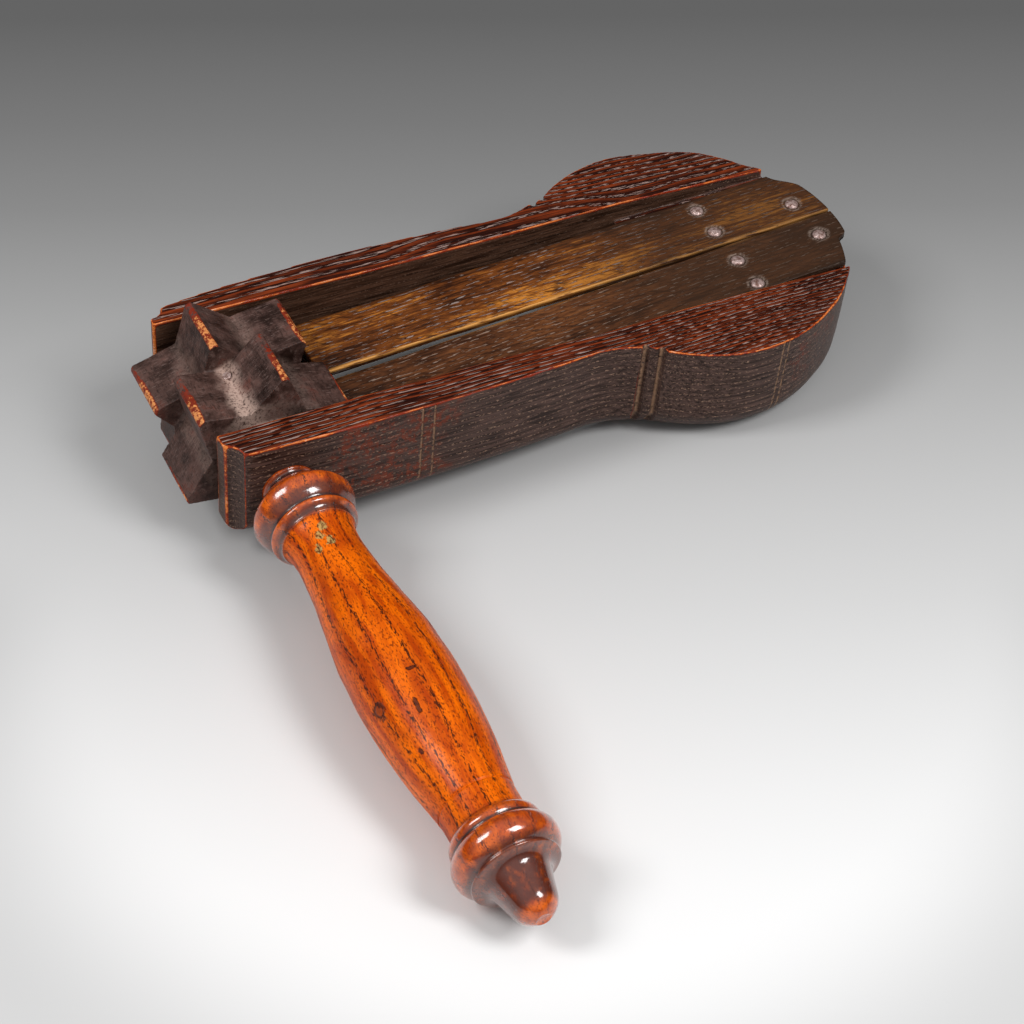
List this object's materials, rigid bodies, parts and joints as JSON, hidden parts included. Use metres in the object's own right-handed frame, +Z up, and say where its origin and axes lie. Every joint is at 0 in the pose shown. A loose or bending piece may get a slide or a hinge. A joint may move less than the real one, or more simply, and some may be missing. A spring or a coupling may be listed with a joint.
{
  "type": "gragger noisemaker",
  "caption": "Wooden ratchet rattle: a forked head swings on a turned handle and its two nailed slats snap over the staggered teeth of a drum fixed to the spindle",
  "frame": {"origin": "the middle of the hand grip, on the axis that the head swings about", "axes": "+X from the toothed drum to the head's round tail, +Y from the grip to the head along the swing axis, +Z up, square to the head's top face"},
  "size_m": [0.2439, 0.2611, 0.0574],
  "materials": {
    "dark_oak": "dark open-grained oak, waxed, worn to red brown on the edges",
    "polished_wood": "glossy orange-brown polish with dark pores and darker turned grooves",
    "black_oak": "near-black carved wood, dusty valleys, worn orange ridges",
    "slat_wood": "dull golden-brown slat with grey flecks",
    "iron": "dull brown iron with bright rubbed crowns"
  },
  "bodies": {
    "spindle": {"handle": "polished_wood", "cog": "black_oak", "cog_pin": "iron"},
    "head": {"frame": "dark_oak", "rear_reed_root": "slat_wood", "front_reed_root": "slat_wood", "rear_reed_nails": "iron", "front_reed_nails": "iron"},
    "rear_reed": {"rear_reed_blade": "slat_wood"},
    "front_reed": {"front_reed_blade": "slat_wood"}
  },
  "joints": [
    {"name": "head_spin", "type": "hinge", "parent": "spindle", "child": "head", "pos_m": [0, 0.1185, 0], "axis": [0, -1, 0], "continuous": true},
    {"name": "rear_reed_flex", "type": "hinge", "parent": "head", "child": "rear_reed", "pos_m": [0.1454, 0.13145, 0.01191], "axis": [0, 1, 0], "range_deg": [-1.5, 5.5], "stiffness_Nm_per_rad": 8},
    {"name": "front_reed_flex", "type": "hinge", "parent": "head", "child": "front_reed", "pos_m": [0.1454, 0.10555, 0.01076], "axis": [0, 1, 0], "range_deg": [-7, 1.8], "stiffness_Nm_per_rad": 8}
  ]
}
